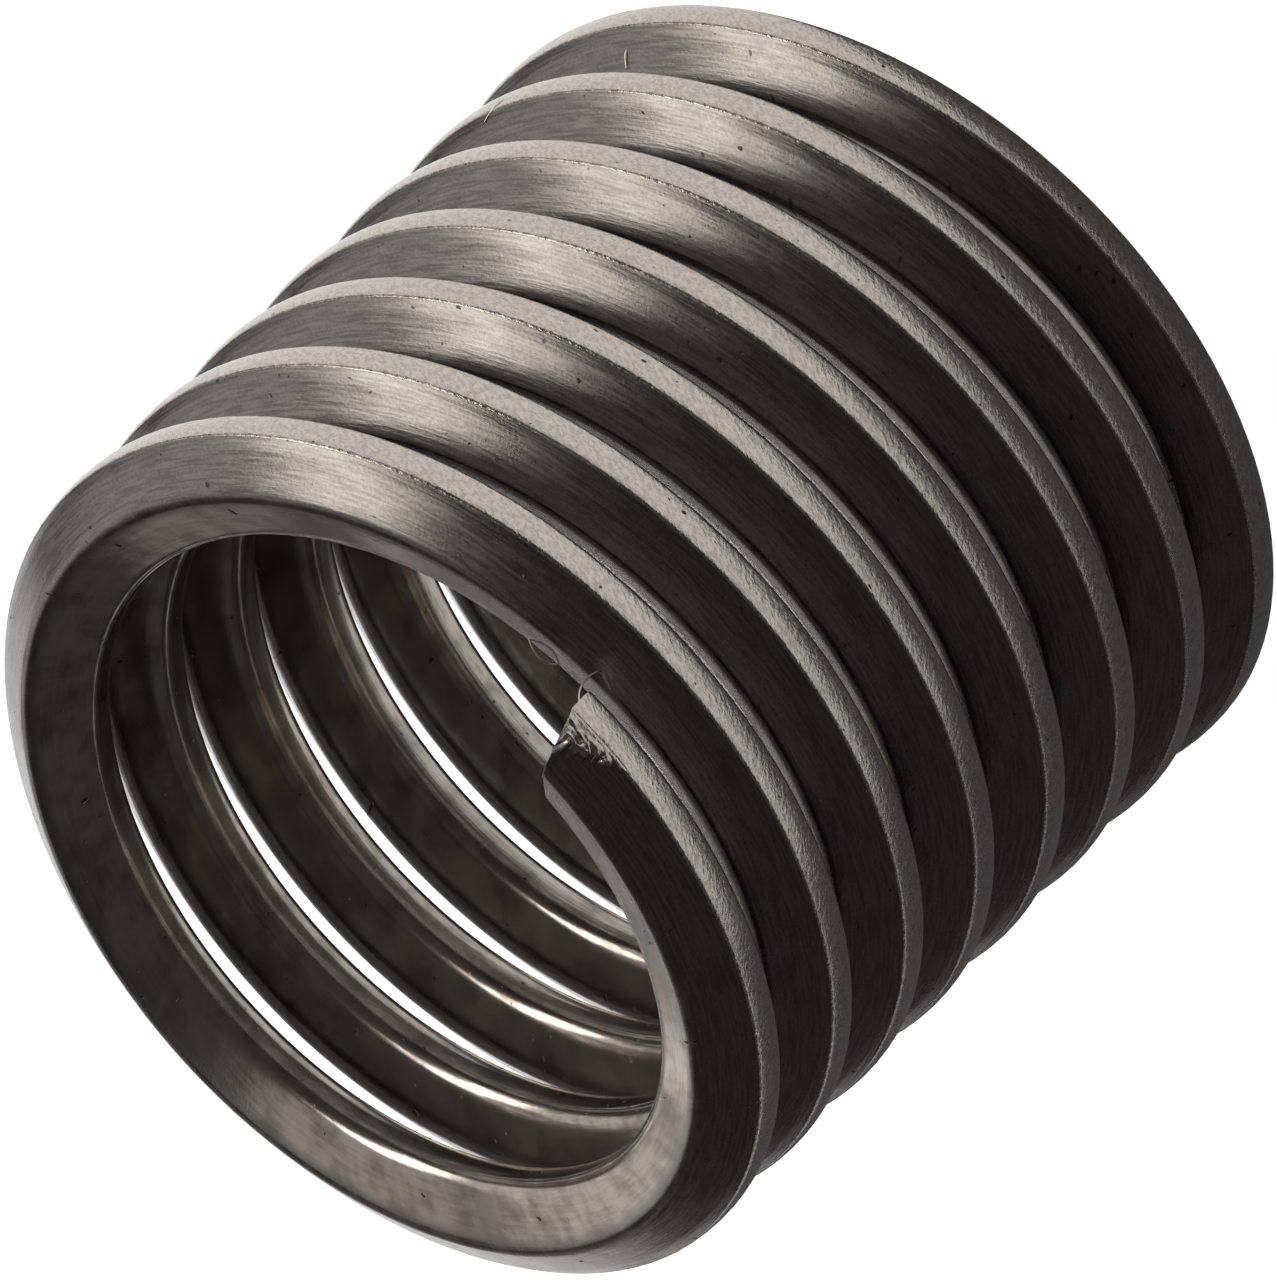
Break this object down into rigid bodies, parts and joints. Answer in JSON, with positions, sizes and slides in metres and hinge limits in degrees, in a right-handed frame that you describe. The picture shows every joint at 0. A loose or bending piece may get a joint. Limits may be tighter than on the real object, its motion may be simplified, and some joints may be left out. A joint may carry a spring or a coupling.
{
  "type": "wire thread insert",
  "caption": "Free helical coil of diamond-section stainless wire, screwed into a tapped hole to line it with a new internal thread.",
  "frame": {"origin": "on the coil's axis, at the lowest edge of its far end", "axes": "+Z along the coil's axis, from the far end that it stands on to the near sheared end; the far end lies at -Y and the near end at +Y"},
  "size_m": [0.0172, 0.0172, 0.0183],
  "materials": {
    "drawn_stainless": "drawn wire, satin flanks and frosted crests"
  },
  "bodies": {
    "root": {"wire_coil": "drawn_stainless"}
  },
  "joints": []
}
